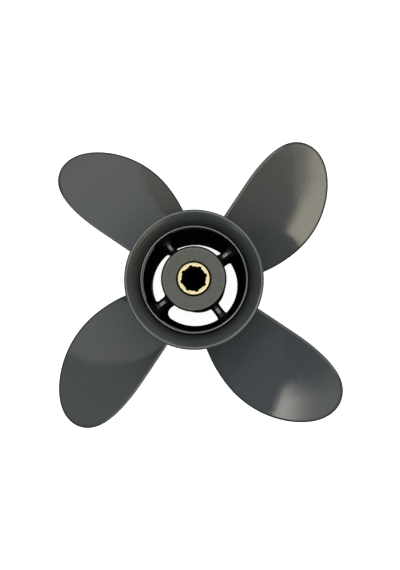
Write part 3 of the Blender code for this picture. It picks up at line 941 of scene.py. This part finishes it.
# %% The room's walls
COOL_WALL, OLIVE_WALL, BACK_WALL = (0.26, 0.32, 0.40, 1), (0.60, 0.58, 0.42, 1), (0.53, 0.54, 0.52, 1)
DARK_CORNER, FLOOR_SHEEN, DARK = (0.30, 0.33, 0.27, 1), (0.30, 0.31, 0.32, 1), (0.0, 0.0, 0.0, 1)
OLIVE_SIDE, BACK_SIDE = (-0.2, 0.5), (-0.1, 0.3)
CORNER_ACROSS, CORNER_BACK = (0.15, 0.3), (-0.66, -0.5)
HORIZON, WALL_FOOT = (-0.02, 0.12), (0.30, 0.75)

studio = bpy.data.worlds.new("studio")
studio.use_nodes = True
room = Socket(studio.node_tree).node("ShaderNodeTexCoord", output="Generated")
across, back, up = (room.node("ShaderNodeSeparateXYZ", output=k, s0=room) for k in range(3))
walls = across.step(*OLIVE_SIDE).blend(COOL_WALL, OLIVE_WALL)
walls = (across.step(*CORNER_ACROSS) * (1 - back.step(*CORNER_BACK))).blend(walls, DARK_CORNER)
walls = back.step(*BACK_SIDE).blend(walls, BACK_WALL)
horizon = up.step(*HORIZON).blend(FLOOR_SHEEN, DARK)
sky = up.step(*WALL_FOOT).blend(horizon, walls)
studio.node_tree.links.new(sky.output, studio.node_tree.nodes["Background"].inputs["Color"])
bpy.context.scene.world = studio
print("room:", len(studio.node_tree.nodes), "nodes")

# %% [markdown]
# ## Lamps
# The light is soft: level boxes hang under the ceiling, and three upright strips stand round the stage for
# the barrel's side. A glossy blade is a mirror, so each box's corners were found by following the edge of
# its reflection back from the blade. Three of the boxes aren't evenly bright: a ramp across the box fades
# it, as a real box fades away from its bulb.

# %% Lamps
CEILING = 1.6
AMBER, WARM, PALE = (1.0, 0.90, 0.73), (1.0, 0.95, 0.86), (1.0, 0.99, 0.94)
OLIVE, BLUE = (1.0, 1.0, 0.3), (0.62, 0.76, 1.0)
STRIP_TURNS, STRIP_SIZE, STRIP_DISTANCE, STRIP_RADIANCE = (20, 160, 270), (0.25, 0.7), 1.6, 1.2


def lamp(name, size, radiance, place, turn, colour=(1.0, 1.0, 1.0)):
    """An unseen rectangular light; its power is radiance times area times pi."""
    light = bpy.data.lights.new(name, "AREA")
    light.shape, light.size, light.size_y = "RECTANGLE", size[0], size[1]
    light.energy = radiance * size[0] * size[1] * math.pi
    light.color = colour
    made = bpy.data.objects.new(name, light)
    bpy.context.scene.collection.objects.link(made)
    made.location, made.rotation_euler = place, [math.radians(angle) for angle in turn]
    made.visible_camera = False
    return light


def strip(name, turn, distance, size, radiance):
    """An upright light at the side, facing the shaft from an angle about it."""
    place = turned_about_z(np.array([distance, 0.0, size[1] / 2]), turn)
    lamp(name, size, radiance, place, (90, 0, turn + 90))


def soft_box(name, corner, size, turn, radiance, colour, fade=None):
    """A level light under the ceiling, from its front left corner, its sides turned by an angle.

    A fade is a list of (share of the width, share of the brightness).
    """
    middle = turned_about_z(np.array([size[0] / 2, size[1] / 2, 0.0]), turn)
    light = lamp(name, size, radiance, middle + np.array([*corner, CEILING]), (0, 0, turn), colour)
    if fade:
        light.use_nodes = True
        place = Socket(light.node_tree).node("ShaderNodeNewGeometry", output="Parametric")
        across = place.node("ShaderNodeSeparateXYZ", s0=place)
        stops = [(at, (share, share, share)) for at, share in fade]
        shade = place.node("ShaderNodeValToRGB", {"stops": stops}, Fac=across)
        light.node_tree.links.new(shade.output, light.node_tree.nodes["Emission"].inputs["Color"])


for turn in STRIP_TURNS:
    strip("side_strip", turn, STRIP_DISTANCE, STRIP_SIZE, STRIP_RADIANCE)
print("strips:", len(bpy.data.lights))

# %% The boxes under the ceiling
RIGHT_FADE = [(0.0, 0.70), (0.6, 0.88), (1.0, 1.0)]
LEFT_FADE = [(0.0, 1.0), (0.16, 0.95), (0.30, 0.70), (0.41, 0.55), (0.50, 0.36), (0.58, 0.29), (0.70, 0.20),
             (1.0, 0.17)]
BLUE_FADE = [(0.0, 0.2), (0.06, 0.9), (0.14, 0.9), (0.2, 0.35), (0.3, 0.3), (0.38, 1.0), (0.46, 0.9),
             (0.54, 0.6), (1.0, 0.7)]

soft_box("right_box", (0.45, -1.24), (0.515, 1.2), 0, 5.5, AMBER, RIGHT_FADE)
soft_box("left_box", (-0.90, -1.00), (0.45, 0.7), 0, 6.65, WARM, LEFT_FADE)
soft_box("middle_box", (-0.45, -1.00), (0.90, 0.7), 0, 1.0, PALE)
soft_box("overhead_box", (-0.65, -0.28), (1.05, 0.9), 0, 0.55, PALE)
soft_box("small_box", (-0.15, 0.0), (0.20, 0.16), 0, 6.0, PALE)
soft_box("olive_box", (1.22, 0.35), (1.2, 0.72), 21, 0.33, OLIVE)
soft_box("blue_box", (-1.75, -1.65), (0.75, 0.9), 0, 0.34, BLUE, BLUE_FADE)
soft_box("back_left_box", (-4.43, 2.29), (4.0, 2.4), -21, 0.78, PALE)
soft_box("back_right_box", (0.35, 0.743), (4.0, 2.4), 21, 0.95, PALE)
bpy.context.scene.view_settings.view_transform = "Standard"
print("strips and boxes:", len(bpy.data.lights))

# %% [markdown]
# ## Camera
# The photograph looks down the shaft from aft, a few degrees off it, from about 0.36 m above the rim. The
# rim's ellipse, the hub's rings at other heights and the four blades' outlines gave that place. The lens
# is shifted, because the hub isn't in the middle of the frame: turning the camera to it would change what
# shows of the bore.

# %% Camera
lens = bpy.data.cameras.new("camera")
lens.lens, lens.sensor_width, lens.sensor_fit = 35.38, 36.0, "AUTO"
lens.shift_x, lens.shift_y = 0.0166, -0.1034
camera = bpy.data.objects.new("camera", lens)
bpy.context.scene.collection.objects.link(camera)
camera.location = (0.0125, -0.0188, 0.4470)
camera.rotation_euler = (math.radians(8.36), math.radians(2.32), 0)
bpy.context.scene.camera = camera
print("camera above the rim:", round(camera.location.z - HUB_LENGTH, 3), "m")
